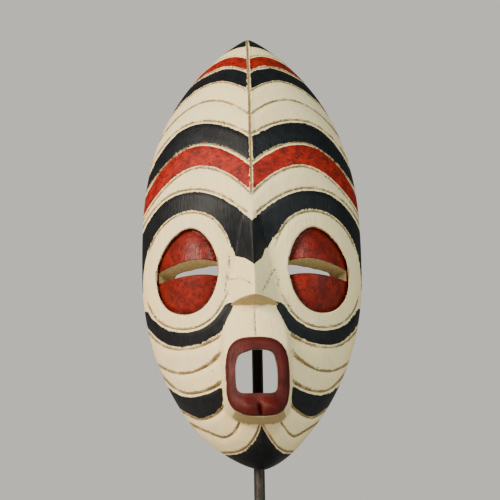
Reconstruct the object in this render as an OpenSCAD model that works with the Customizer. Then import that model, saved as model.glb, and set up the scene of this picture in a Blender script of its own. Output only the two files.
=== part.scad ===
// Carved wooden mask with a hollow back, hung on a forged iron display stand.
// Front of the mask faces -Y, +Z is up. The origin is the centre of the stand's underside.

/* [Mask] */
// Height of the mask from chin to crown
mask_h = 400; // [390:5:410]
// Width of the mask at its widest, level with the lower eyelids
mask_w = 202; // [198:1:206]
// Depth of the forehead keel in front of the rim
mask_d = 82; // [79:1:85]
// Thickness of the carved wall
wall = 14; // [12:1:15]

/* [Face] */
// Height of the nose tip above the cheeks beside it
nose_rise = 26; // [22:1:30]
// Depth of the lips in front of the rim
lip_d = 97; // [93:1:100]
// Sideways distance from the middle of the face to the middle of an eye
eye_x = 58; // [56:1:60]
// Height of an eye's middle above the chin
eye_h = 176; // [174:1:178]
// Width of the mouth opening
mouth_w = 37; // [32:1:38]
// Height of the mouth opening
mouth_h = 40; // [36:1:42]

/* [Stand] */
// Height of the chin above the surface that the stand rests on
chin_z = 120; // [100:5:140]
// Sideways distance from the stem to the middle of the mask, which doesn't hang quite centred
mask_aside = -4; // [-5:1:0]
// Diameter of the iron stem
stem_dia = 10; // [10:1:12]
// Diameter of the peg forged at the top of the stem
peg_dia = 7; // [6:0.5:7]
// Side of the square base plate
base_side = 150; // [140:5:180]
// Thickness of the base plate
base_t = 12; // [10:1:15]

/* [Hidden] */
eps = 0.01;

// Grids of the carved surfaces
rows = 76;
cols = 38;
hollow_rows = 28;
hollow_cols = 16;

// Share of the depth that the keeled section loses from its middle to its edge, the power of its
// roll to the rim, and the power by which it grows shallower where the outline narrows
keel = 0.36;
roll_power = 3;
narrow_power = 0.9;

// Length lost from each pointed end of the outline, where its width runs out
tip_trim = 2;

// Outline and hollow, as heights above the chin
half_w = mask_w / 2;
widest_h = 0.44 * mask_h;
crown_power = 2.9;
crown_round = 0.85;
chin_power = 2;
chin_round = 0.64;
hollow_low = 20;
hollow_high = mask_h - 60;
hollow_half_w = half_w - wall;
hollow_d = mask_d - wall;
rim_lip = 1;

// Extra room behind the lips
lip_room_d = 26;
lip_room_half_w = 30;
lip_room_half_h = 34;

// Nose
nose_top = 222;
nose_bottom = 143;
nose_half_top = 5;
nose_half_bottom = 22;
nose_undercut = 5;
valley_h = 178;
valley_reach = 40;
valley_half_w = 26;
valley_d = 10;

// Muzzle and lips
muzzle_top = 142;
muzzle_bottom = 43;
muzzle_top_d = 75;
muzzle_half_top = 20;
muzzle_half_w = 29;
muzzle_edge = 5;
muzzle_widen_run = 60;
muzzle_slope_run = 110;
muzzle_fade_up = 16;
muzzle_fade_down = 10;
mouth_mid_h = 84;
mouth_corner = 9;

// Eyes
eye_half_w = 27;
eye_half_h = 38;
eye_tilt = 6;
eye_sink = 6;
lid_swell = 8;
slit_mid_h = eye_h;
slit_in_x = 32;
slit_out_x = 84;
slit_half_h = 7;
slit_drop = 3;
slit_end_slope = 16;
slit_front_d = 90;
slit_back_d = 16;
slit_narrowing = 2.5;

// Hanging peg and its hole, which slopes up and forwards into the crown
peg_angle = 45;
peg_hole_h = hollow_high + 22;
peg_hole_depth = 26;
sleeve_t = 0.7;
cap_t = 1.5;
fit_gap = 0.3;
peg_len = peg_hole_depth - fit_gap - cap_t;
peg_hole_r = peg_dia / 2 + sleeve_t + fit_gap;

// Stand
felt_t = 2;
felt_inset = 3;
plate_chamfer = 3;
plate_top_z = felt_t + base_t;
boss_r = 14;
boss_flange_r = 20;
boss_flange_t = 4;
boss_h = 34;
boss_floor_t = 8;
boss_chamfer = 1.5;
socket_gap = 0.05;
stem_r = stem_dia / 2;
stem_bend_r = 18;
peg_root = 1;
rim_gap = 12;
bolt_r = 3;
bolt_head_r = 6;
bolt_head_t = 3.3;
bolt_key_r = 2.3;
bolt_key_depth = 2;
thread_gap = 0.05;
bolt_end_gap = 1.5;
lock_r = 2.5;
lock_len = 7.2;
lock_h = 22;
lock_stand_off = 0.2;
hex_key_r = 1.45;
hex_key_depth = 3;
bumper_h = 14;
bumper_low = 10;
bumper_round = 2;

// Where the peg's axis crosses the rim plane, and where the stem starts to bend
peg_z = chin_z + peg_hole_h;
bend_run = rim_gap - stem_bend_r * (1 - cos(peg_angle));
bend_z = peg_z - stem_bend_r * sin(peg_angle) - bend_run / tan(peg_angle);
shoulder_run = bend_run / sin(peg_angle);

// Surfaces of the mask, in x across, h up from the chin and d forwards from the rim

function ease(low, high, v) =
    let (t = min(1, max(0, (v - low) / (high - low))))
    t * t * (3 - 2 * t);

// Half width of an almond outline that starts at height low, ends at high and is widest at widest_h
function almond(h, low, high, half) =
    h > widest_h
        ? half * pow(1 - pow((h - widest_h) / (high - widest_h), crown_power), crown_round)
        : half * pow(1 - pow((widest_h - h) / (widest_h - low), chin_power), chin_round);

function outline(h) = almond(h, 0, mask_h, half_w);
function hollow_outline(h) = almond(h, hollow_low, hollow_high, hollow_half_w);

// A cross-section that is a little keeled in the middle and rolls over to meet the rim squarely
function section(r) = sqrt(max(0, 1 - pow(min(1, r), roll_power))) * (1 - keel * min(1, r));

function dome(x, h, half, full_half, depth) =
    half < eps ? 0 : depth * pow(half / full_half, narrow_power) * section(abs(x) / half);

function valley(x, h) =
    valley_d * exp(-pow(x / valley_half_w, 2) - pow((h - valley_h) / valley_reach, 2));

function nose(x, h) =
    let (run = min(1, max(0, (nose_top - h) / (nose_top - nose_bottom))),
         half = nose_half_top + (nose_half_bottom - nose_half_top) * run)
    nose_rise * pow(run, 0.8) * pow(max(0, 1 - abs(x) / half), 0.85)
        * ease(nose_bottom - nose_undercut, nose_bottom, h);

function muzzle_half(h) =
    muzzle_half_top + (muzzle_half_w - muzzle_half_top) * ease(muzzle_top, muzzle_top - muzzle_widen_run, h);

function muzzle_front(h) =
    muzzle_top_d + (lip_d - muzzle_top_d) * ease(muzzle_top, muzzle_top - muzzle_slope_run, h);

// 1 on the muzzle and 0 off it
function on_muzzle(x, h) =
    ease(muzzle_half(h) + muzzle_edge, muzzle_half(h) - muzzle_edge, abs(x))
        * ease(muzzle_bottom - muzzle_edge, muzzle_bottom + muzzle_edge, h)
        * ease(muzzle_top + muzzle_fade_up, muzzle_top - muzzle_fade_down, h);

// Distance from an eye's middle, where 1 is the edge of the socket
function eye_radius(x, h) =
    let (dx = abs(x) - eye_x, dh = h - eye_h)
    norm([(dx * cos(eye_tilt) + dh * sin(eye_tilt)) / eye_half_w,
          (dh * cos(eye_tilt) - dx * sin(eye_tilt)) / eye_half_h]);

function eye(x, h) =
    let (r = eye_radius(x, h))
    lid_swell * max(0, 1 - r * r) - eye_sink * ease(1.1, 0.95, r);

function face(x, h) =
    let (cheeks = dome(x, h, outline(h), half_w, mask_d) - valley(x, h),
         snout = on_muzzle(x, h))
    max(0, cheeks + (muzzle_front(h) - cheeks) * snout + nose(x, h) + eye(x, h));

function hollow(x, h) =
    dome(x, h, hollow_outline(h), hollow_half_w, hollow_d)
        + lip_room_d * exp(-pow(x / lip_room_half_w, 2) - pow((h - mouth_mid_h) / lip_room_half_h, 2));

// Position of a point in the mask's own frame, whose origin is on the rim plane level with the chin
function place(x, h, d) = [x, -d, h];

// A block with a flat back at depth back, whose front is a grid of computed points
module relief(grid, nr, nc, back) {
    across = nc + 1;
    edge = concat([for (j = [0:nc]) j],
                  [for (i = [1:nr]) i * across + nc],
                  [for (j = [nc - 1:-1:0]) nr * across + j],
                  [for (i = [nr - 1:-1:1]) i * across]);
    front = [for (i = [0:nr]) for (j = [0:nc]) grid[i][j]];
    rim = [for (k = edge) [front[k][0], back, front[k][2]]];
    first = len(front);
    n = len(edge);
    polyhedron(
        points = concat(front, rim),
        faces = concat(
            [for (i = [0:nr - 1]) for (j = [0:nc - 1]) each
                let (a = i * across + j) [[a, a + across, a + across + 1], [a, a + across + 1, a + 1]]],
            [for (k = [0:n - 1]) each
                let (m = (k + 1) % n)
                [[edge[k], edge[m], first + m], [edge[k], first + m, first + k]]],
            [[for (k = [0:n - 1]) first + k]]
        )
    );
}

// The outer carved surface, ending just short of the crown's and chin's points
module carved_block() {
    low = tip_trim;
    high = mask_h - tip_trim;
    relief([for (i = [0:rows]) let (h = low + (high - low) * i / rows, w = outline(h))
                [for (j = [0:cols]) let (x = w * sin(90 * (2 * j / cols - 1)))
                    place(x, h, rim_lip + face(x, h))]],
           rows, cols, 0);
}

module hollow_block() {
    low = hollow_low + tip_trim;
    high = hollow_high - tip_trim;
    relief([for (i = [0:hollow_rows])
                let (h = low + (high - low) * (1 - cos(180 * i / hollow_rows)) / 2, w = hollow_outline(h))
                [for (j = [0:hollow_cols]) let (x = w * sin(90 * (2 * j / hollow_cols - 1)))
                    place(x, h, rim_lip + hollow(x, h))]],
           hollow_rows, hollow_cols, 1);
}

// A slot through an eyelid, which closes in and slopes down towards the inside of the mask
module eye_slit() {
    slit_w = slit_out_x - slit_in_x;
    back_half_h = slit_half_h - slit_narrowing;
    hull() {
        translate(place(slit_in_x, slit_mid_h - slit_half_h, slit_front_d))
            cube([slit_w, eps, 2 * slit_half_h]);
        translate(place(slit_in_x, slit_mid_h - slit_drop - back_half_h, slit_back_d))
            cube([slit_w - slit_end_slope, eps, 2 * back_half_h]);
    }
}

// The mouth opening, with cut corners at the top
module mouth_hole() {
    w = mouth_w / 2;
    h = mouth_h / 2;
    clear_of_lips = 20;
    translate(place(0, mouth_mid_h, lip_d + clear_of_lips))
        rotate([-90, 0, 0])
            linear_extrude(lip_d)
                polygon([[-w, h], [w, h], [w, mouth_corner - h], [w - mouth_corner, -h],
                         [mouth_corner - w, -h], [-w, mouth_corner - h]]);
}

// Turns the Z axis onto the peg's axis, with the origin where that axis crosses the rim plane
module on_peg_axis() {
    translate([0, -rim_gap, chin_z + peg_hole_h])
        rotate([90 - peg_angle, 0, 0])
            children();
}

// One carved block of wood, brought to its exact width and height, with a drilled hanging hole
module mask() {
    color("antiquewhite")
        difference() {
            translate([mask_aside, -rim_gap, chin_z - tip_trim * mask_h / (mask_h - 2 * tip_trim)])
                resize([mask_w, 0, mask_h])
                    difference() {
                        carved_block();
                        hollow_block();
                        eye_slit();
                        mirror([1, 0, 0]) eye_slit();
                        mouth_hole();
                    }
            on_peg_axis()
                translate([0, 0, -peg_hole_r - 1])
                    cylinder(r = peg_hole_r, h = peg_hole_depth + peg_hole_r + 1, $fn = 48);
        }
}

// Round iron bar, bent forwards at the top and drawn down to a peg
module stem() {
    socket_z = plate_top_z + boss_floor_t;
    color("#1d1b1a") {
        translate([0, 0, socket_z])
            cylinder(r = stem_r, h = bend_z - socket_z, $fn = 48);
        translate([0, -stem_bend_r, bend_z])
            rotate([90, 0, 90])
                rotate_extrude(angle = peg_angle, $fn = 96)
                    translate([stem_bend_r, 0])
                        circle(r = stem_r, $fn = 48);
        on_peg_axis()
            translate([0, 0, -shoulder_run - peg_root])
                cylinder(r = peg_dia / 2, h = peg_root + shoulder_run + peg_len, $fn = 48);
    }
}

// Rubber cap pushed over the peg, which keeps the iron off the wood
module peg_sleeve() {
    color("#2b2b2b")
        on_peg_axis()
            difference() {
                cylinder(r = peg_dia / 2 + sleeve_t, h = peg_len + cap_t, $fn = 48);
                translate([0, 0, -1])
                    cylinder(r = peg_dia / 2, h = peg_len + 1, $fn = 48);
            }
}

// Rubber ring on the stem that the back of the chin leans on
module chin_bumper() {
    outer = rim_gap - fit_gap / 3;
    color("#2b2b2b")
        translate([0, 0, chin_z + bumper_low])
            rotate_extrude($fn = 64)
                polygon([[stem_r, 0], [outer - bumper_round, 0], [outer, bumper_round],
                         [outer, bumper_h - bumper_round], [outer - bumper_round, bumper_h],
                         [stem_r, bumper_h]]);
}

// Turned socket that the stem drops into
module socket_boss() {
    color("#242424")
        translate([0, 0, plate_top_z])
            difference() {
                rotate_extrude($fn = 64)
                    polygon([[0, 0], [boss_flange_r, 0], [boss_flange_r, boss_flange_t - 1],
                             [boss_flange_r - 1, boss_flange_t], [boss_r, boss_flange_t],
                             [boss_r, boss_h - boss_chamfer], [boss_r - boss_chamfer, boss_h],
                             [0, boss_h]]);
                translate([0, 0, boss_floor_t])
                    cylinder(r = stem_r + socket_gap, h = boss_h, $fn = 48);
                translate([0, 0, -1])
                    cylinder(r = bolt_r, h = boss_floor_t + 2, $fn = 32);
                translate([0, 0, lock_h])
                    rotate([-90, 0, 0])
                        cylinder(r = lock_r, h = boss_r + 1, $fn = 32);
            }
}

// Set screw that holds the stem at the angle it is turned to
module lock_screw() {
    color("silver")
        translate([0, stem_r + lock_stand_off, plate_top_z + lock_h])
            rotate([-90, 0, 0])
                difference() {
                    cylinder(r = lock_r - thread_gap, h = lock_len, $fn = 32);
                    translate([0, 0, lock_len - hex_key_depth])
                        cylinder(r = hex_key_r, h = hex_key_depth + 1, $fn = 6);
                }
}

// Countersunk screw that pulls the socket down onto the plate
module boss_bolt() {
    length = base_t + boss_floor_t - bolt_end_gap;
    color("silver")
        translate([0, 0, felt_t])
            difference() {
                union() {
                    cylinder(r = bolt_r - thread_gap, h = length, $fn = 32);
                    cylinder(
                        r1 = bolt_head_r - thread_gap,
                        r2 = bolt_r - thread_gap,
                        h = bolt_head_t,
                        $fn = 48
                    );
                }
                translate([0, 0, -1])
                    cylinder(r = bolt_key_r, h = bolt_key_depth + 1, $fn = 6);
            }
}

// Square steel plate with chamfered corners and top edge
module base_plate() {
    side = base_side / 2;
    c = plate_chamfer;
    profile = [[-side, 0], [side, 0], [side, base_t - c], [side - c, base_t],
               [c - side, base_t], [-side, base_t - c]];
    color("#202020")
        translate([0, 0, felt_t])
            difference() {
                intersection() {
                    rotate([90, 0, 0])
                        translate([0, 0, -side])
                            linear_extrude(base_side) polygon(profile);
                    rotate([90, 0, 90])
                        translate([0, 0, -side])
                            linear_extrude(base_side) polygon(profile);
                    linear_extrude(base_t)
                        polygon([[c - side, -side], [side - c, -side], [side, c - side], [side, side - c],
                                 [side - c, side], [c - side, side], [-side, side - c], [-side, c - side]]);
                }
                translate([0, 0, -1])
                    cylinder(r = bolt_r + thread_gap, h = base_t + 2, $fn = 32);
                cylinder(r1 = bolt_head_r, r2 = bolt_r, h = bolt_head_t, $fn = 48);
            }
}

// Felt sheet glued under the plate
module base_felt() {
    side = base_side - 2 * felt_inset;
    color("#3a4a3a")
        translate([-side / 2, -side / 2, 0])
            cube([side, side, felt_t]);
}

mask();
stem();
peg_sleeve();
chin_bumper();
socket_boss();
lock_screw();
boss_bolt();
base_plate();
base_felt();
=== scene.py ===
import math

import bmesh
import bpy
import numpy as np
from mathutils import Matrix, Vector, noise


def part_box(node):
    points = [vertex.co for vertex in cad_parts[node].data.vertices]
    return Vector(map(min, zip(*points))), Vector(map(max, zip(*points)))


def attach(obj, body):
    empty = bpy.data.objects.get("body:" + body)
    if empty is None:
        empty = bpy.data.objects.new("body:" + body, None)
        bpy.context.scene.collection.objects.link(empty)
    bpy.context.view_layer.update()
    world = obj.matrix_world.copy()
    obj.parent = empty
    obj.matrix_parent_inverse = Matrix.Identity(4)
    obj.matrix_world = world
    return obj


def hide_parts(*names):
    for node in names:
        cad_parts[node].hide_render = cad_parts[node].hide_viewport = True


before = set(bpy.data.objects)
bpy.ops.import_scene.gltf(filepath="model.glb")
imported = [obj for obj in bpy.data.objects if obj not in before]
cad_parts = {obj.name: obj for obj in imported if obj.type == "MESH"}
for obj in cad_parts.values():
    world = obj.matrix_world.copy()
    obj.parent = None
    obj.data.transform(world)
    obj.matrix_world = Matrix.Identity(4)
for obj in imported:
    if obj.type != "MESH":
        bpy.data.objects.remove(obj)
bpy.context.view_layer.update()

MM = 0.001

# The mask's own measures in millimetres: x across, h up from the chin, d forwards from the rim.
mask_low, mask_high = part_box("mask")
chin_z = mask_low.z
rim_y = mask_high.y
mask_x = (mask_low.x + mask_high.x) / 2
tall = (mask_high.z - mask_low.z) / MM
half_wide = (mask_high.x - mask_low.x) / 2 / MM

DEEP = 82
WALL = 14
WIDEST = 0.44 * tall
CROWN_POWER, CROWN_ROUND = 2.9, 0.85
CHIN_POWER, CHIN_ROUND = 2, 0.64
CHIN_BLOCK, CROWN_BLOCK = 20, 60
KEEL = 0.36
NARROW_POWER, ROLL_POWER = 0.9, 3
RIM_ROUND = 1.5
BRIDGE_DIP, BRIDGE_H = 10, 178

EYE_X, EYE_H = 58.5, 175.5
EYE_HALF_W, EYE_HALF_H = 27.5, 38.5
RING_HALF_W, RING_HALF_H = 40.5, 54
EYE_TILT = math.radians(7)
LID_SINK, LID_SWELL = 8, 9

# Each eye slit's ceiling and floor: the slope into the wood, and the height that it would reach
# at the rim's plane, at the slit's inner end and at its outer end.
SLIT_CEILING = (0.55, 148.3, 161)
SLIT_FLOOR = (0.25, 154.5, 160)

NOSE_TOP, NOSE_FOOT = 228, 144
NOSE_HALF_TOP, NOSE_HALF_FOOT = 5, 20.5
NOSE_RISE = 27
NOSE_ARCH = 6

MUZZLE_TOP, MUZZLE_FOOT = 142, 41.5
MUZZLE_HALF_TOP, MUZZLE_HALF_FOOT = 16.5, 29.5
MUZZLE_CORNER_H, MUZZLE_CORNER_POWER = 72, 2.7
MUZZLE_DEEP, MUZZLE_THRUST, MUZZLE_CURVE = 75, 17, 6.5

LIPS_H, LIPS_HALF_W, LIPS_HALF_H = 79, 28, 35
LIP_SWELL, LOBE_SWELL = 3.4, 4.5
LOBE_X, LOBE_H = 10, 52
MOUTH_X, MOUTH_H = -1, 84
MOUTH_HALF_W, MOUTH_HALF_H = 18.5, 20

GROOVE_DEEP, GROOVE_RIDGE = 1.6, 0.8
GOUGE_WIDE, GOUGE_LONG = 11, 24

PEG_HOLE_R, PEG_HOLE_LONG, PEG_HOLE_OUT = 4.5, 56, 2


# ---------------------------------------------------------------- carved form

def ease(low, high, v):
    t = np.clip((v - low) / (high - low), 0, 1)
    return t * t * (3 - 2 * t)


def almond(h, low, high, half):
    """Half width of a leaf shape that runs from low to high."""
    up = np.clip((h - WIDEST) / (high - WIDEST), 0, 1)
    down = np.clip((WIDEST - h) / (WIDEST - low), 0, 1)
    crown = (1 - up**CROWN_POWER) ** CROWN_ROUND
    chin = (1 - down**CHIN_POWER) ** CHIN_ROUND
    return half * np.where(h > WIDEST, crown, chin)


def outline(h):
    return almond(h, 0, tall, half_wide)


def hollow_outline(h):
    return almond(h, CHIN_BLOCK, tall - CROWN_BLOCK, half_wide - WALL)


def dome(x, half, full_half, depth):
    """A shell that is keeled down its middle and rolls over to meet the rim squarely."""
    r = np.clip(np.abs(x) / np.maximum(half, 0.01), 0, 1)
    return depth * (half / full_half) ** NARROW_POWER * (1 - r**ROLL_POWER) ** 0.5 * (1 - KEEL * r)


def tilted(x, h):
    """Place relative to the nearer eye's middle, in axes that lean with the eye."""
    dx, dh = np.abs(x) - EYE_X, h - EYE_H
    c, s = math.cos(EYE_TILT), math.sin(EYE_TILT)
    return dx * c + dh * s, dh * c - dx * s


def oval(x, h, half_w, half_h, upper, lower):
    """An egg round the eye, 1 on its line; upper and lower say how full its halves are."""
    a, b = tilted(x, h)
    power = lower + (upper - lower) * ease(-12, 12, b)
    return (np.abs(a / half_w) ** power + np.abs(b / half_h) ** power) ** (1 / power)


def eye_oval(x, h):
    return oval(x, h, EYE_HALF_W, EYE_HALF_H, upper=1.75, lower=2.2) - 1


def ring_oval(x, h):
    return oval(x, h, RING_HALF_W, RING_HALF_H, upper=2.1, lower=2.2) - 1


def ring_line(x, h):
    """The line carved just inside the edge of the cream ring."""
    return ring_oval(x, h) + 0.04


def muzzle_half(h):
    widening = ease(MUZZLE_TOP + 8, MUZZLE_TOP - 28, h)
    return MUZZLE_HALF_TOP + (MUZZLE_HALF_FOOT - MUZZLE_HALF_TOP) * widening


def muzzle_side(x, h):
    """Millimetres outside the muzzle, whose lower corners are rounded off."""
    half = muzzle_half(h)
    below = np.clip(MUZZLE_CORNER_H - h, 0, None) / (MUZZLE_CORNER_H - MUZZLE_FOOT)
    power = MUZZLE_CORNER_POWER
    return half * ((np.abs(x / half) ** power + below**power) ** (1 / power) - 1)


def on_muzzle(x, h):
    """1 on the muzzle's front and 0 off it."""
    return ease(3.5, -2.5, muzzle_side(x, h)) * ease(MUZZLE_TOP + 16, MUZZLE_TOP - 8, h)


def lips_outer(x, h):
    """Below 0 inside the outer edge of the lips."""
    power = 3.2
    a = np.abs(x / LIPS_HALF_W) ** power
    b = np.abs((h - LIPS_H) / LIPS_HALF_H) ** power
    return (a + b) ** (1 / power) - 1


def lips_inner(x, h):
    """Below 0 inside the opening between the lips."""
    power = 4
    a = np.abs((x - MOUTH_X) / (MOUTH_HALF_W + 0.5)) ** power
    b = np.abs((h - MOUTH_H) / MOUTH_HALF_H) ** power
    return (a + b) ** (1 / power) - 1


def distance(shape, x, h):
    """Signed distance in millimetres from the curve where shape is zero."""
    e = 0.05
    f = shape(x, h)
    gx = (shape(x + e, h) - shape(x - e, h)) / (2 * e)
    gh = (shape(x, h + e) - shape(x, h - e)) / (2 * e)
    size = np.maximum(np.hypot(gx, gh), 1e-4)
    return f / size, gx / size, gh / size


def nose_run(h):
    return np.clip((NOSE_TOP - h) / (NOSE_TOP - NOSE_FOOT), 0, 1)


def nose_half(h):
    return NOSE_HALF_TOP + (NOSE_HALF_FOOT - NOSE_HALF_TOP) * nose_run(h) ** 0.8


def nose_lip(x):
    """Height of the nose's front edge, which arches over a flat underside."""
    return NOSE_FOOT + NOSE_ARCH * np.clip(1 - (x / NOSE_HALF_FOOT) ** 2, 0, 1) ** 0.7


def nose(x, h):
    """The keeled nose, as a rise above the cheeks."""
    ridge = np.sqrt(x**2 + 1.2) - 1.1
    rise = NOSE_RISE * nose_run(h) ** 0.85 * np.clip(1 - ridge / nose_half(h), 0, None) ** 0.9
    return rise * ease(NOSE_FOOT - 2, nose_lip(x), h)


def muzzle_front(x, h):
    """How far forward the muzzle's front stands."""
    run = np.clip((MUZZLE_TOP - h) / (MUZZLE_TOP - MUZZLE_FOOT), 0, 1)
    return MUZZLE_DEEP + MUZZLE_THRUST * run - MUZZLE_CURVE * (x / LIPS_HALF_W) ** 2


def lips(x, h):
    """The rounded ring of the lips, which swells into two lobes at the bottom."""
    outer, inner = lips_outer(x, h), lips_inner(x, h)
    q = np.clip(inner, 0, None) / np.maximum(np.clip(inner, 0, None) + np.clip(-outer, 0, None), 1e-4)
    ring = np.where(outer < 0, np.sqrt(np.clip(1 - (2 * np.clip(q, 0.3, 1) - 1) ** 2, 0, 1)), 0)
    lobe = np.exp(-(((np.abs(x) - LOBE_X) / 8) ** 2) - ((h - LOBE_H) / 7.5) ** 2)
    cleft = np.exp(-((x / 1.4) ** 2)) * ease(58, 50, h)
    return LIP_SWELL * ring**0.7 + np.where(outer < 0.02, LOBE_SWELL * (lobe - cleft), 0)


def eye(x, h):
    """The sunken eye with its swollen lids, as a rise above the cheeks."""
    r = eye_oval(x, h) + 1
    lid = LID_SWELL * np.clip(1 - r * r, 0, 1) ** 0.75 - LID_SINK
    return lid * ease(1.02, 0.965, r)


# ------------------------------------------------------ carved lines and paint

def arch(centre, peak_x, peak, edge_x, edge, inward=1.9, outward=2.0):
    """A line over one eye: its height at the middle of the face, at its peak and at the rim."""
    def height(x, h):
        ax = np.abs(x)
        inner = (peak - centre) * np.clip((peak_x - ax) / peak_x, 0, 1) ** inward
        outer = (peak - edge) * np.clip((ax - peak_x) / (edge_x - peak_x), 0, None) ** outward
        return h - (peak - inner - outer)
    return height


CAP_FOOT = arch(389, 3, 389, 21, 385)
CROWN_RED_TOP = arch(373, 14, 378, 38, 370)
CROWN_RED_FOOT = arch(360, 20, 367.5, 50, 357)
CROWN_BLACK_TOP = arch(357, 21, 365, 52, 355, outward=1.6)
CROWN_BLACK_FOOT = arch(339, 29, 352, 68, 332, outward=1.8)
WHITE_LINE = arch(314, 36, 332, 76, 311)
BROW_BLACK_TOP = arch(292.5, 45, 310.5, 90, 277, outward=2.2)
BROW_BLACK_FOOT = arch(270, 46, 291.5, 96, 256, outward=1.85)
RED_TOP = arch(265.5, 47, 289, 97, 250, outward=2.1)
RED_FOOT = arch(243, 47, 270, 97, 235, outward=1.85)
EYEBROW_TOP = arch(216.5, 54, 246.5, 97, 221, outward=2.5)
CHEEK_BLACK_FOOT = arch(150, 62, 108.5, 94, 127, inward=2, outward=2.4)
CHEEK_LINE = arch(145.5, 63, 85.5, 86, 95, inward=2)
JAW_BLACK_TOP = arch(103, 57, 65.3, 77, 75, inward=2)
JAW_BLACK_FOOT = arch(114, 50, 46.5, 68, 57, inward=2, outward=1.3)
CHIN_LINE = arch(94, 32, 28.5, 48, 36, inward=2, outward=1.2)


def chin_top(x, h):
    return h - (14 + 24 * np.clip(1 - np.abs(x) / 28, 0, 1) ** 2.6)


def bridge_foot(x, h):
    """Lower edge of the black on the nose: a small point between two uneven steps."""
    point = 7 * np.clip(np.abs(x) / 8, 0, 1) ** 0.9
    left = 2.5 * ease(8, 15, -x) + 8 * ease(15, 19, -x) + 14 * ease(18, 28, -x)
    right = 9 * ease(7, 11.5, x) + 11 * ease(11, 21, x)
    return h - (176.5 + point + left + right)


# Each carved line: its curve, how far the cut lies above it, its depth, and how near the
# middle of the face it starts.
CUTS = [
    (CROWN_RED_TOP, 1.5, 0.7, 0),
    (CROWN_BLACK_TOP, 1.2, 1.2, 0),
    (CROWN_BLACK_FOOT, -1.5, 1.0, 0),
    (WHITE_LINE, 0, 1.5, 0),
    (BROW_BLACK_TOP, 2.0, 1.6, 0),
    (BROW_BLACK_FOOT, -1.0, 1.5, 0),
    (RED_FOOT, -2.3, 1.5, 0),
    (EYEBROW_TOP, 2.0, 1.6, 3),
    (CHEEK_BLACK_FOOT, -2.2, 1.7, 26),
    (CHEEK_LINE, 0, 2.2, 29),
    (JAW_BLACK_TOP, 2.4, 2.2, 28),
    (JAW_BLACK_FOOT, -1.6, 1.7, 28),
    (CHIN_LINE, 0, 2.0, 17),
    (chin_top, 1.4, 2.0, 0),
]

# Short knife marks: the two ends in x and h, and the depth.
NICKS = [
    ((-21, 166), (-12, 166), 0.7),
    ((-12, 166), (-2, 158), 0.8),
    ((17, 173), (6, 151), 0.9),
    ((18, 176), (24, 152), 0.5),
    ((-0.5, 141), (0.5, 113), 0.9),
    ((-20, 189), (-26, 154), 0.9),
    ((-40, 86), (-38.5, 86.5), 1.3),
]


def scribe(above, deep):
    """A cut with a steep wall above it and a long ramp back to the surface below it."""
    wall = ease(0.9, 0, above)
    ramp = np.clip(1 + above / 6, 0, 1) ** 1.6
    return -deep * np.where(above > 0, wall, ramp)


def cut_distances(x, h):
    """For every carved line, how far above it each point lies and how deep the cut is there."""
    found = []
    for curve, lift, deep, start in CUTS:
        above = distance(curve, x, h)[0] - lift
        deeper = 1 + 0.9 * ease(60, 30, np.abs(x)) if start > 20 else 1
        found.append((above, deep * deeper * ease(start - 1, start + 2, np.abs(x) + 0.01)))
    ring = distance(ring_line, x, h)[0]
    upper = h > EYE_H
    side = ease(14, 34, np.abs(h - EYE_H)) * ease(14, 22, np.abs(x))
    found.append((np.where(upper, ring, -ring), 1.5 * side))
    return found


def nicks(x, h):
    """How far each point is from the nearest knife mark, and that mark's depth."""
    near, deep = np.full_like(x, 99.0), np.zeros_like(x)
    for (x0, h0), (x1, h1), cut in NICKS:
        along = ((x - x0) * (x1 - x0) + (h - h0) * (h1 - h0)) / ((x1 - x0) ** 2 + (h1 - h0) ** 2)
        along = np.clip(along, 0, 1)
        off = np.hypot(x - x0 - along * (x1 - x0), h - h0 - along * (h1 - h0))
        deep = np.where(off < near, cut * (0.5 + 2 * along * (1 - along)), deep)
        near = np.minimum(near, off)
    return near, deep


def hand(x, h, scale, seed):
    """Smooth unevenness of hand work, from -1 to 1."""
    return np.array([noise.noise(Vector((a / scale, b / scale, seed))) for a, b in zip(x, h)])


def middle_groove(x, h):
    """The groove down the middle of the brow, between two thin ridges."""
    ridges = GROOVE_RIDGE * np.exp(-(((np.abs(x) - 1.9) / 0.7) ** 2))
    groove = GROOVE_DEEP * np.exp(-((x / 0.9) ** 2))
    return (ridges - groove) * ease(NOSE_TOP, NOSE_TOP + 22, h)


def face(x, h):
    """How far forward the carved front stands, with its lines and the unevenness of hand work."""
    cheeks = dome(x, outline(h), half_wide, DEEP)
    cheeks -= BRIDGE_DIP * np.exp(-((x / 26) ** 2) - ((h - BRIDGE_H) / 40) ** 2)
    on = on_muzzle(x, h)
    front = muzzle_front(x, h) + lips(x, h)
    d = cheeks + (front - cheeks) * on + nose(x, h) + eye(x, h)
    off = 1 - ease(0.3, 0.9, on)
    for above, deep in cut_distances(x, h):
        d += scribe(above, deep) * off * ease(1.0, 1.06, eye_oval(x, h) + 1)
    d += middle_groove(x, h)
    near, deep = nicks(x, h)
    d -= deep * np.exp(-((near / 0.9) ** 2))
    edge = ease(0, 6, outline(h) - np.abs(x))
    d += edge * (0.35 * hand(x, h, 17, 1.5) + 0.15 * hand(x, h, 5, 7.5))
    return np.maximum(d, 0)


def hollow(x, h):
    """The gouged back, which is thicker at the slits' outer ends and deeper behind the muzzle."""
    deep = dome(x, hollow_outline(h), half_wide - WALL, DEEP - WALL)
    deep = np.where(hollow_outline(h) > 0.5, deep, 0)
    inside = ease(0, 6, deep)
    across = np.abs(np.sin((x + 4 * np.sin(h / 19)) * math.pi / GOUGE_WIDE))
    along = np.abs(np.sin((h + 5 * np.sin(x / 13)) * math.pi / GOUGE_LONG))
    deep = deep + inside * (0.7 * across + 0.6 * along - 1.2)
    deep -= 14 * ease(67, 74, np.abs(x)) * np.exp(-(((h - 172) / 17) ** 2))
    behind_muzzle = np.exp(-((x / 22) ** 2) - ((h - MOUTH_H) / 26) ** 2)
    return np.maximum(deep + 22 * inside * behind_muzzle, 0)


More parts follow.
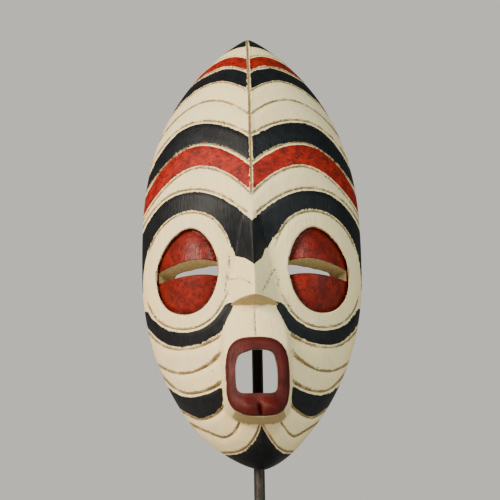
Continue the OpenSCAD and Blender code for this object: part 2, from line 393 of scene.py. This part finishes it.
# ------------------------------------------------------------------ mesh tools

def finish_mesh(bm, name, materials):
    mesh = bpy.data.meshes.new(name)
    bm.to_mesh(mesh)
    bm.free()
    for m in materials:
        mesh.materials.append(m)
    mesh.shade_smooth()
    piece = bpy.data.objects.new(name, mesh)
    bpy.context.scene.collection.objects.link(piece)
    return piece


def gather(x, h, shape, span, pull=0.75, share=1.0):
    """Draws mesh lines towards the curve where shape is zero, so that a steep edge is cut cleanly.

    Only lines nearer than span move; a greater pull packs them tighter, and share fades it out.
    """
    off, gx, gh = distance(shape, x, h)
    near = np.abs(off) < span
    moved = np.sign(off) * np.abs(off) * (np.abs(off) / span) ** pull
    shift = np.where(near, moved - off, 0) * share
    keep = ease(2, 10, outline(h) - np.abs(x))
    return x + shift * gx * keep, h + shift * gh * keep


def spread(u, share):
    """Moves grid lines towards both ends, from evenly spaced at 0 to a sine's spacing at 1."""
    return share * np.sin(u * math.pi / 2) + (1 - share) * u


def leaf_grid(bm, cols, rows, inset):
    """A grid laid over the mask's outline; returns its verts and their x and h."""
    made = bmesh.ops.create_grid(bm, x_segments=cols, y_segments=rows, size=1)["verts"]
    uv = np.array([v.co for v in made], float)
    h = tall / 2 * (1 + spread(uv[:, 1], 0.12))
    h = np.clip(h, inset, tall - inset)
    x = np.maximum(outline(h) - inset, 0) * spread(uv[:, 0], 0.45)
    return made, x, h


def lean(h):
    """How far the middle of the face wanders from the middle of the outline, and how far the
    chin's point does."""
    face_off = 1.1 * ease(215, 160, h) - 1 + 1.9 * ease(135, 80, h) + 4 * ease(60, 28, h)
    chin_off = 5.5 * np.clip(1 - h / 32, 0, 1) ** 1.3
    return face_off, chin_off


def sway(x, h):
    """How far each point is moved across: by the face's wander, which dies out at the rim, and the chin's."""
    face_off, chin_off = lean(h)
    share = np.clip(1 - (x / np.maximum(outline(h), 1)) ** 2, 0, 1)
    return (face_off - 0.6 * chin_off) * share + chin_off


def to_frame(x, h, d):
    """From the carver's measures to the frame, with the face set a little off its outline's middle."""
    across = x + sway(x, h)
    return np.stack([mask_x + across * MM, rim_y - d * MM, chin_z + h * MM], axis=1)


def from_frame(place):
    """The carver's measures x, h and d of points in the frame."""
    h = (place[:, 2] - chin_z) / MM
    across = (place[:, 0] - mask_x) / MM
    x = across.copy()
    for _ in range(8):
        x = across - sway(x, h)
    return x, h, (rim_y - place[:, 1]) / MM


# ------------------------------------------------------------------- the mask

FRONT_COLS, FRONT_ROWS = 190, 380
FRONT_INSET, BACK_INSET = 0.6, 2.2
SLICE = 1.7


def nose_side(x, h):
    return np.abs(x) - nose_half(h)


def near_nose_foot(x, h):
    return h - nose_lip(x) + 0.5 + 40 * ease(24, 40, np.abs(x))


def hollow_edge(x, h):
    return np.abs(x) - hollow_outline(h)


def front_half(bm):
    made, x, h = leaf_grid(bm, FRONT_COLS, FRONT_ROWS, FRONT_INSET)
    x, h = gather(x, h, lambda a, b: a, 6, 0.9, ease(NOSE_TOP - 2, NOSE_TOP + 18, h))
    for curve, lift, _, _ in CUTS:
        x, h = gather(x, h, lambda a, b: curve(a, b) - lift, 3, 0.5)
    for shape, span in ((muzzle_side, 7), (nose_side, 3), (near_nose_foot, 5),
                        (lips_outer, 3), (lips_inner, 3), (ring_line, 3), (eye_oval, 5)):
        x, h = gather(x, h, shape, span)
    d = np.maximum(face(x, h), RIM_ROUND)
    for v, place in zip(made, to_frame(x, h, d)):
        v.co = place


def back_half(bm):
    made, x, h = leaf_grid(bm, FRONT_COLS // 2, FRONT_ROWS // 2, BACK_INSET)
    x, h = gather(x, h, hollow_edge, 5)
    for v, place in zip(made, to_frame(x, h, hollow(x, h))):
        v.co = place


def mask_block():
    """The block as it leaves the carver's hands, before anything is cut right through it."""
    bm = bmesh.new()
    front_half(bm)
    back_half(bm)
    bmesh.ops.bridge_loops(bm, edges=[e for e in bm.edges if e.is_boundary])
    bmesh.ops.remove_doubles(bm, verts=bm.verts, dist=0.00002)
    bmesh.ops.recalc_face_normals(bm, faces=bm.faces)
    return finish_mesh(bm, "carved_mask", [])


def slice_up(bm, across):
    """Cuts the cutters' long walls into small faces, so that paint can stop part of the way in."""
    spots = np.array([v.co.dot(across) for v in bm.verts])
    for spot in np.arange(spots.min(), spots.max(), SLICE * MM)[1:]:
        everything = bm.verts[:] + bm.edges[:] + bm.faces[:]
        bmesh.ops.bisect_plane(bm, geom=everything, plane_co=across * spot, plane_no=across)


def slit_cutter(bm, side):
    """A slit whose ceiling, floor and outer end slope in towards the hollow."""
    made = bmesh.ops.create_cube(bm, size=1)["verts"]
    for v in made:
        front, inner = v.co.y < 0, v.co.x < 0
        d = 80 if front else (26 if inner else 9)
        x = (30 if front else 33) if inner else 89 + 1.1 * (d - 34)
        slope, inner_h, outer_h = SLIT_CEILING if v.co.z > 0 else SLIT_FLOOR
        h = slope * d + (inner_h if inner else outer_h)
        v.co = to_frame(side * np.array([x]), np.array([h]), np.array([d]))[0]
    bmesh.ops.recalc_face_normals(bm, faces=list({f for v in made for f in v.link_faces}))
    edges = list({e for v in made for e in v.link_edges})
    bmesh.ops.bevel(bm, geom=edges, offset=0.0012, segments=2, profile=0.5, affect="EDGES", material=-1)


def mouth_cutter(bm):
    """The opening between the lips, cut straight through with uneven corners."""
    ring = bmesh.ops.create_circle(bm, cap_ends=True, segments=56, radius=1)["verts"]
    for v in ring:
        turn = math.atan2(v.co.y, v.co.x)
        c, s = math.cos(turn), math.sin(turn)
        reach = (abs(c / MOUTH_HALF_W) ** 6 + abs(s / MOUTH_HALF_H) ** 6) ** (-1 / 6)
        reach *= 1 + 0.02 * noise.noise(Vector((c * 2, s * 2, 4.2)))
        reach *= 1 - 0.14 * max(0, math.cos(turn - 2.25)) ** 8 - 0.07 * max(0, math.cos(turn - 0.8)) ** 8
        place = np.array([MOUTH_X + reach * c]), np.array([MOUTH_H + reach * s])
        v.co = to_frame(*place, np.array([130]))[0]
    cap = [f for f in bm.faces if all(v in ring for v in f.verts)]
    grown = bmesh.ops.extrude_face_region(bm, geom=cap)["geom"]
    for v in [g for g in grown if isinstance(g, bmesh.types.BMVert)]:
        v.co.y += 130 * MM


def peg_hole_cutter(bm):
    """The hole that the peg of the stem and its sleeve go up into."""
    low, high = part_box("peg_sleeve")
    middle = (low + high) / 2
    radius = PEG_HOLE_R * MM
    bore = bmesh.ops.create_cone(bm, cap_ends=True, segments=40, radius1=radius, radius2=radius,
                                 depth=PEG_HOLE_LONG * MM)
    turn = Matrix.Rotation(math.radians(45), 4, "X")
    along = Vector((0, -1, 1)).normalized()
    mouth = middle + along * ((middle.y - rim_y) * math.sqrt(2))
    place = Matrix.Translation(mouth - along * PEG_HOLE_OUT * MM)
    bmesh.ops.transform(bm, verts=bore["verts"], matrix=place @ turn)


def cut_openings(piece):
    bm = bmesh.new()
    for side in (-1, 1):
        slit_cutter(bm, side)
    mouth_cutter(bm)
    slice_up(bm, Vector((0, 1, 0)))
    slice_up(bm, Vector((1, 0, 0)))
    peg_hole_cutter(bm)
    bmesh.ops.recalc_face_normals(bm, faces=bm.faces)
    cutter = finish_mesh(bm, "openings", [])
    cut = piece.modifiers.new("openings", "BOOLEAN")
    cut.operation = "DIFFERENCE"
    cut.solver = "EXACT"
    cut.object = cutter
    graph = bpy.context.evaluated_depsgraph_get()
    mesh = bpy.data.meshes.new_from_object(piece.evaluated_get(graph))
    piece.modifiers.clear()
    piece.data = mesh
    bpy.data.objects.remove(cutter)


def between(top, foot, x, h):
    """How far inside the band between two curves each point lies, in millimetres."""
    return np.minimum(-distance(top, x, h)[0], distance(foot, x, h)[0])


def rounded(a, b, radius):
    """The overlap of two painted areas, with the corner between them rounded."""
    return radius - np.hypot(np.clip(radius - a, 0, None), np.clip(radius - b, 0, None))


# How far the black and the red stay from the middle groove, and how far the paint of the lips
# goes into the mouth.
BLACK_GAP, RED_GAP = 1.5, 1.4
PAINT_IN = 9


def black_paint(x, h, side):
    """Millimetres inside the black paint; side is the distance outside the muzzle."""
    ax = np.abs(x)
    off_middle = ax - BLACK_GAP
    ring = distance(ring_oval, x, h)[0]
    cap = np.minimum(distance(CAP_FOOT, x, h)[0], off_middle)
    crown = np.minimum(between(CROWN_BLACK_TOP, CROWN_BLACK_FOOT, x, h), off_middle)
    brow = np.minimum(between(BROW_BLACK_TOP, BROW_BLACK_FOOT, x, h), off_middle)
    lower = np.where(ax < 40, distance(bridge_foot, x, h)[0], h - 162)
    eyebrow = np.minimum(np.minimum(-distance(EYEBROW_TOP, x, h)[0], ring), lower)
    cheek = rounded(ring, np.minimum(145 - h, ax - 18), 3)
    cheek = rounded(cheek, distance(CHEEK_BLACK_FOOT, x, h)[0], 5)
    cheek = rounded(cheek, side - 0.5, 1.5)
    jaw = rounded(between(JAW_BLACK_TOP, JAW_BLACK_FOOT, x, h), side - 1, 4)
    chin = -distance(chin_top, x, h)[0]
    return np.max([cap, crown, brow, eyebrow, cheek, jaw, chin], axis=0)


def red_paint(x, h):
    """Millimetres inside the red paint, and inside the glossier red of the lids and lips."""
    off_middle = np.abs(x) - RED_GAP
    crown = np.minimum(between(CROWN_RED_TOP, CROWN_RED_FOOT, x, h), off_middle)
    brow = np.minimum(between(RED_TOP, RED_FOOT, x, h), off_middle)
    lids = -distance(eye_oval, x, h)[0]
    mouth = -distance(lips_outer, x, h)[0]
    return np.max([crown, brow, lids, mouth], axis=0), np.maximum(lids, mouth)


def stains_and_shade(x, h, off):
    """Where the carved lines are darkened, from 0 to 1: dirt worked into the cuts, with painted shade on the
    steep wall above each cut.
    """
    worst = np.zeros_like(x)
    for above, deep in cut_distances(x, h):
        wide = 0.6 + 0.55 * deep
        here = ease(wide + 0.5, wide - 0.3, above) * ease(-0.6, 0, above) * np.minimum(deep, 1) * off
        worst = np.maximum(worst, here)
    middle = 1.6 * np.exp(-((x / 1.0) ** 2)) * ease(232, 250, h)
    near, deep = nicks(x, h)
    return np.max([worst, middle, np.exp(-((near / 0.8) ** 2)) * np.minimum(1.2 * deep, 1)], axis=0)


def mark_paint(piece):
    """Lays out the paint on the finished mesh: distances in millimetres that the materials read."""
    mesh = piece.data
    count = len(mesh.vertices)
    place, normal = np.zeros(count * 3), np.zeros(count * 3)
    mesh.vertices.foreach_get("co", place)
    mesh.vertices.foreach_get("normal", normal)
    place, normal = place.reshape(-1, 3), normal.reshape(-1, 3)
    x, h, d = from_frame(place)
    surface = face(x, h)
    under = surface - d
    side, _, facing = distance(muzzle_side, x, h)
    muzzle = on_muzzle(x, h)
    on = ease(0, 0.35, muzzle)
    # Painted shade: the undersides of the nose and lips, found by faces that turn down, take the colour of
    # unpainted wood, partly as their real unpainted wood and partly as painted shade under them; cut_wall is
    # the unpainted wood inside the cuts.
    down = ease(-0.35, -0.6, normal[:, 2])
    nose_underside_shade = down * ease(24, 22, np.abs(x)) * ease(140.5, 142.5, h) * ease(153, 150, h)
    lips_underside_shade = ease(0.02, 0.08, muzzle) * ease(0.995, 0.95, muzzle) * ease(-0.6, -0.85, facing)
    at_mouth = h < MUZZLE_TOP - 12
    cut_wall = np.where(at_mouth, ease(PAINT_IN - 1, PAINT_IN + 1, under), ease(0.5, 1.3, under))
    bare_and_shade = np.max([nose_underside_shade, lips_underside_shade, cut_wall], axis=0)
    red, gloss = red_paint(x, h)
    marks = {
        "black_edge": black_paint(x, h, side),
        "red_edge": red,
        "gloss_edge": gloss,
        "lip_edge": -distance(lips_outer, x, h)[0],
        "stain_and_shade": stains_and_shade(x, h, 1 - on),
        "bare_and_shade": bare_and_shade,
        "inside": ease(0.2, -0.3, d - hollow(x, h) - 0.5) * ease(0, 1, surface - 3),
    }
    for name, values in marks.items():
        attribute = mesh.attributes.new(name, "FLOAT", "POINT")
        attribute.data.foreach_set("value", values.astype(np.float32))


# ------------------------------------------------------------------- materials

class Finish:
    """A material being mixed, with short names for the nodes that every recipe here uses."""

    def __init__(self, name):
        self.material = bpy.data.materials.new(name)
        self.material.use_nodes = True
        self.tree = self.material.node_tree
        self.surface = self.tree.nodes["Principled BSDF"]
        self.place = self.tree.nodes.new("ShaderNodeTexCoord").outputs["Object"]

    def put(self, value, socket):
        if isinstance(value, bpy.types.NodeSocket):
            self.tree.links.new(value, socket)
        else:
            socket.default_value = value

    def mark(self, name):
        node = self.tree.nodes.new("ShaderNodeAttribute")
        node.attribute_name = name
        return node.outputs["Fac"]

    def noise(self, size, stretch=(1, 1, 1), detail=3, warp=0.0):
        """Noise whose lumps are about size millimetres across, drawn out by stretch."""
        turn = self.tree.nodes.new("ShaderNodeMapping")
        self.put(self.place, turn.inputs["Vector"])
        turn.inputs["Scale"].default_value = [1 / (size * MM * s) for s in stretch]
        node = self.tree.nodes.new("ShaderNodeTexNoise")
        self.put(turn.outputs["Vector"], node.inputs["Vector"])
        node.inputs["Scale"].default_value = 1
        node.inputs["Detail"].default_value = detail
        node.inputs["Distortion"].default_value = warp
        return node.outputs["Fac"]

    def math(self, operation, a, b=0.0):
        node = self.tree.nodes.new("ShaderNodeMath")
        node.operation = operation
        self.put(a, node.inputs[0])
        self.put(b, node.inputs[1])
        return node.outputs[0]

    def ramp(self, value, low, high, out_low=0.0, out_high=1.0):
        node = self.tree.nodes.new("ShaderNodeMapRange")
        self.put(value, node.inputs["Value"])
        ends = {"From Min": low, "From Max": high, "To Min": out_low, "To Max": out_high}
        for name, number in ends.items():
            node.inputs[name].default_value = number
        return node.outputs["Result"]

    def mix(self, share, a, b):
        node = self.tree.nodes.new("ShaderNodeMix")
        node.data_type = "RGBA"
        self.put(share, node.inputs[0])
        for value, socket in ((a, node.inputs[6]), (b, node.inputs[7])):
            self.put((*value, 1) if isinstance(value, tuple) else value, socket)
        return node.outputs[2]

    def blend(self, share, a, b):
        node = self.tree.nodes.new("ShaderNodeMix")
        self.put(share, node.inputs[0])
        self.put(a, node.inputs[2])
        self.put(b, node.inputs[3])
        return node.outputs[0]

    def bump(self, height, deep):
        node = self.tree.nodes.new("ShaderNodeBump")
        node.inputs["Distance"].default_value = deep * MM
        self.put(height, node.inputs["Height"])
        self.put(node.outputs["Normal"], self.surface.inputs["Normal"])

    def finish(self, colour, roughness, metallic=0.0):
        colour = (*colour, 1) if isinstance(colour, tuple) else colour
        self.put(colour, self.surface.inputs["Base Color"])
        self.put(roughness, self.surface.inputs["Roughness"])
        self.put(metallic, self.surface.inputs["Metallic"])
        return self.material


def painted_wood():
    """Chalky cream over carved wood, with black and red brushed on, and unpainted wood behind; the undersides
    of the nose and lips take the colour of unpainted wood, partly as painted shade.
    """
    f = Finish("painted_wood")
    broad = f.noise(38, detail=2)
    blotch = f.noise(9, detail=4)
    fine = f.noise(1.1, detail=4)
    strokes = f.noise(1.3, stretch=(1, 1, 14), detail=3, warp=0.4)
    bristles = f.noise(0.8, stretch=(1, 1, 5), detail=1)
    wobble = f.noise(7, detail=2)

    cream = f.mix(f.ramp(broad, 0.35, 0.65), (0.87, 0.69, 0.36), (0.79, 0.66, 0.38))
    cream = f.mix(f.ramp(blotch, 0.5, 0.75, 0, 0.55), cream, (0.91, 0.78, 0.49))
    cream = f.mix(f.ramp(strokes, 0.52, 0.75, 0, 0.4), cream, (0.56, 0.42, 0.22))

    ragged = f.math("ADD", f.ramp(bristles, 0.3, 0.7, -0.55, 0.55), f.ramp(wobble, 0.3, 0.7, -0.45, 0.45))
    ragged = f.math("ADD", ragged, f.ramp(fine, 0.3, 0.7, -0.2, 0.2))
    ragged = f.math("MULTIPLY", ragged, f.ramp(f.noise(24, detail=1), 0.42, 0.62, 0.25, 1.35))

    # Darkening along the carved lines: dirt in the cuts, and painted shade on each cut's steep wall.
    stain_and_shade = f.math("MULTIPLY", f.mark("stain_and_shade"), f.ramp(blotch, 0.38, 0.62, 0.55, 1.15))
    brown_dirt_and_shade = f.mix(f.ramp(fine, 0.4, 0.7), (0.30, 0.20, 0.09), (0.10, 0.06, 0.03))
    colour = f.mix(f.ramp(stain_and_shade, 0.25, 0.8, 0, 0.9), cream, brown_dirt_and_shade)

    specks = f.ramp(f.noise(1.6, detail=2), 0.61, 0.65)
    specks = f.math("MULTIPLY", specks, f.ramp(f.mark("stain_and_shade"), 0.02, 0.3))
    colour = f.mix(specks, colour, (0.04, 0.03, 0.02))

    black = f.mix(f.ramp(blotch, 0.3, 0.75), (0.003, 0.004, 0.006), (0.008, 0.009, 0.011))
    black = f.mix(f.ramp(strokes, 0.5, 0.8, 0, 0.35), black, (0.026, 0.026, 0.027))
    on_black = f.ramp(f.math("ADD", f.mark("black_edge"), ragged), -0.12, 0.12)
    colour = f.mix(on_black, colour, black)

    gloss = f.ramp(f.mark("gloss_edge"), -0.6, 0.6)
    red = f.mix(f.ramp(blotch, 0.35, 0.7), (0.34, 0.013, 0.005), (0.16, 0.006, 0.003))
    lacquer = f.mix(f.ramp(blotch, 0.35, 0.7), (0.22, 0.013, 0.007), (0.10, 0.006, 0.004))
    lip_red = f.mix(f.ramp(blotch, 0.35, 0.7), (0.085, 0.004, 0.002), (0.035, 0.002, 0.001))
    lacquer = f.mix(f.ramp(f.mark("lip_edge"), -0.6, 0.6), lacquer, lip_red)
    red = f.mix(gloss, red, lacquer)
    streaks = f.noise(4.5, stretch=(2.2, 1, 1), detail=5, warp=1.6)
    red = f.mix(f.ramp(streaks, 0.47, 0.64, 0, 0.85), red, (0.060, 0.008, 0.005))
    # Painted shade: the red of the lids and lips darkens towards their edges, where the lids sink into their
    # sockets.
    rim_shade = f.mix(gloss, red, (0.05, 0.006, 0.005))
    red = f.mix(f.ramp(f.mark("gloss_edge"), 0.3, 4.5, 0.75, 0), red, rim_shade)
    on_red = f.ramp(f.math("ADD", f.mark("red_edge"), f.math("MULTIPLY", ragged, 0.7)), -0.12, 0.12)
    colour = f.mix(on_red, colour, red)

    # The colour of unpainted wood on the cut walls, also laid as painted shade on the undersides of the nose
    # and lips.
    khaki_wood_and_shade = f.mix(f.ramp(strokes, 0.35, 0.7), (0.47, 0.36, 0.17), (0.30, 0.21, 0.09))
    on_bare_and_shade = f.ramp(f.math("ADD", f.mark("bare_and_shade"), f.ramp(fine, 0.3, 0.7, -0.12, 0.12)), 0.42, 0.58)
    colour = f.mix(on_bare_and_shade, colour, khaki_wood_and_shade)

    grain = f.noise(2.2, stretch=(1, 1, 22), detail=4, warp=0.8)
    raw = f.mix(f.ramp(grain, 0.35, 0.68), (0.36, 0.23, 0.12), (0.19, 0.105, 0.05))
    raw = f.mix(f.ramp(broad, 0.45, 0.7, 0, 0.5), raw, (0.12, 0.07, 0.038))
    inside = f.ramp(f.mark("inside"), 0.4, 0.6)
    colour = f.mix(inside, colour, raw)

    rough = f.blend(on_black, f.ramp(fine, 0.3, 0.7, 0.68, 0.8), 0.45)
    polish = f.ramp(blotch, 0.3, 0.7, 0.26, 0.42)
    polish = f.math("ADD", polish, f.ramp(f.mark("lip_edge"), -0.6, 0.6, 0, 0.16))
    shiny = f.blend(gloss, 0.55, polish)
    rough = f.blend(on_red, rough, shiny)
    rough = f.blend(f.math("MAXIMUM", on_bare_and_shade, inside), rough, 0.78)
    f.surface.inputs["Specular IOR Level"].default_value = 0.16

    height = f.math("ADD", f.ramp(strokes, 0.2, 0.8, 0, 0.7), f.ramp(fine, 0.2, 0.8, 0, 0.35))
    height = f.math("ADD", height, f.ramp(blotch, 0.2, 0.8, 0, 0.5))
    f.bump(height, 0.28)
    return f.finish(colour, rough)


def forged_iron():
    f = Finish("forged_iron")
    dents = f.noise(7, stretch=(1, 1, 1.6), detail=2)
    scale = f.noise(1.2, detail=4)
    rust = f.ramp(f.noise(5, stretch=(1, 1, 2), detail=5), 0.52, 0.72)
    colour = f.mix(f.ramp(scale, 0.35, 0.7), (0.016, 0.014, 0.013), (0.034, 0.029, 0.025))
    colour = f.mix(f.math("MULTIPLY", rust, 0.6), colour, (0.10, 0.045, 0.022))
    f.bump(f.math("ADD", dents, f.ramp(scale, 0, 1, 0, 0.25)), 0.7)
    return f.finish(colour, f.ramp(scale, 0.3, 0.7, 0.36, 0.6), 0.35)


def black_steel():
    f = Finish("blackened_steel")
    patina = f.noise(30, detail=5)
    brushed = f.noise(0.5, stretch=(60, 1, 1), detail=2)
    colour = f.mix(f.ramp(patina, 0.35, 0.7), (0.022, 0.021, 0.021), (0.042, 0.039, 0.037))
    f.bump(brushed, 0.03)
    return f.finish(colour, f.ramp(patina, 0.3, 0.7, 0.38, 0.55), 0.6)


def rubber():
    f = Finish("black_rubber")
    dust = f.noise(0.7, detail=4)
    colour = f.mix(f.ramp(dust, 0.45, 0.75), (0.018, 0.018, 0.018), (0.045, 0.044, 0.042))
    f.bump(dust, 0.06)
    return f.finish(colour, 0.72)


def bright_steel():
    f = Finish("bright_steel")
    turned = f.noise(0.25, stretch=(1, 1, 8), detail=2)
    f.bump(turned, 0.02)
    return f.finish((0.56, 0.56, 0.57), f.ramp(turned, 0.3, 0.7, 0.22, 0.36), 1.0)


def felt():
    f = Finish("green_felt")
    fibres = f.noise(0.6, detail=6, warp=2)
    colour = f.mix(f.ramp(fibres, 0.35, 0.7), (0.030, 0.062, 0.040), (0.060, 0.105, 0.070))
    f.surface.inputs["Sheen Weight"].default_value = 0.5
    f.bump(fibres, 0.25)
    return f.finish(colour, 0.95)


def dress(node, material):
    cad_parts[node].data.materials.clear()
    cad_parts[node].data.materials.append(material)


# ------------------------------------------------------------ making everything

mask = mask_block()
cut_openings(mask)
mark_paint(mask)
mask.data.materials.clear()
mask.data.materials.append(painted_wood())
mask.data.shade_smooth()
mask.data.set_sharp_from_angle(angle=math.radians(55))
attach(mask, "hung_mask")
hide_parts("mask")

iron, steel, soft, bright, wool = forged_iron(), black_steel(), rubber(), bright_steel(), felt()
FINISHES = {
    "stem": iron,
    "socket_boss": steel,
    "base_plate": steel,
    "peg_sleeve": soft,
    "chin_bumper": soft,
    "lock_screw": bright,
    "boss_bolt": bright,
    "base_felt": wool,
}
for node, material in FINISHES.items():
    dress(node, material)


# ---------------------------------------------------------- camera, light, floor

LENS = 140.9


def pointed(place, target):
    """Where something stands when it is put at place and aimed at target."""
    return Matrix.Translation(place) @ (target - place).to_track_quat("-Z", "Y").to_matrix().to_4x4()


def look_from(place, target, roll):
    """Points the camera at target, rolled about its own line of sight."""
    data = bpy.data.cameras.new("camera")
    data.lens = LENS
    data.clip_end = 50
    camera = bpy.data.objects.new("camera", data)
    bpy.context.scene.collection.objects.link(camera)
    camera.matrix_world = pointed(place, target) @ Matrix.Rotation(roll, 4, "Z")
    bpy.context.scene.camera = camera


def soft_light(name, place, target, size, power, colour):
    data = bpy.data.lights.new(name, "AREA")
    data.shape = "DISK"
    data.size = size
    data.energy = power
    data.color = colour
    light = bpy.data.objects.new(name, data)
    bpy.context.scene.collection.objects.link(light)
    light.matrix_world = pointed(place, target)


def studio_floor():
    """A pale floor that glows more the farther off it is, as painted light where the lamps don't reach."""
    bm = bmesh.new()
    bmesh.ops.create_grid(bm, x_segments=8, y_segments=8, size=4)
    bmesh.ops.translate(bm, verts=bm.verts, vec=(0, 0, -0.0002))
    f = Finish("pale_floor")
    colour = f.mix(f.noise(400, detail=2), (0.62, 0.60, 0.56), (0.66, 0.64, 0.60))
    far = f.tree.nodes.new("ShaderNodeVectorMath")
    far.operation = "LENGTH"
    f.put(f.place, far.inputs[0])
    f.put((0.82, 0.79, 0.72, 1), f.surface.inputs["Emission Color"])
    f.put(f.ramp(far.outputs["Value"], 0.8, 3.6, 0, 0.72), f.surface.inputs["Emission Strength"])
    finish_mesh(bm, "floor", [f.finish(colour, 0.8)])


def studio_world():
    """A pale backdrop that is brighter to look at than the light it gives."""
    world = bpy.data.worlds.new("studio")
    world.use_nodes = True
    nodes, links = world.node_tree.nodes, world.node_tree.links
    backdrop = nodes["Background"]
    backdrop.inputs["Color"].default_value = (0.82, 0.79, 0.72, 1)
    seen = nodes.new("ShaderNodeLightPath").outputs["Is Camera Ray"]
    strength = nodes.new("ShaderNodeMapRange")
    strength.inputs["To Min"].default_value = 0.17
    strength.inputs["To Max"].default_value = 0.80
    links.new(seen, strength.inputs["Value"])
    links.new(strength.outputs["Result"], backdrop.inputs["Strength"])
    bpy.context.scene.world = world


heart = Vector((mask_x - 1.4 * MM, -12 * MM, chin_z + 201.7 * MM))
away, turned, below = 1.8, math.radians(-1.3), math.radians(-8)
level = Vector((math.sin(turned), -math.cos(turned), 0)) * math.cos(below)
viewpoint = heart + away * (level + Vector((0, 0, math.sin(below))))
look_from(viewpoint, heart, math.radians(-0.95))
soft_light("key", Vector((-1.3, -1.2, 0.95)), heart, 0.8, 62, (1.0, 0.88, 0.74))
soft_light("front", Vector((0.5, -1.8, 1.2)), heart, 0.35, 22, (0.85, 1.0, 0.96))
soft_light("fill", Vector((1.5, -0.9, 0.5)), heart, 0.7, 6, (0.84, 1.0, 0.96))
studio_floor()
studio_world()
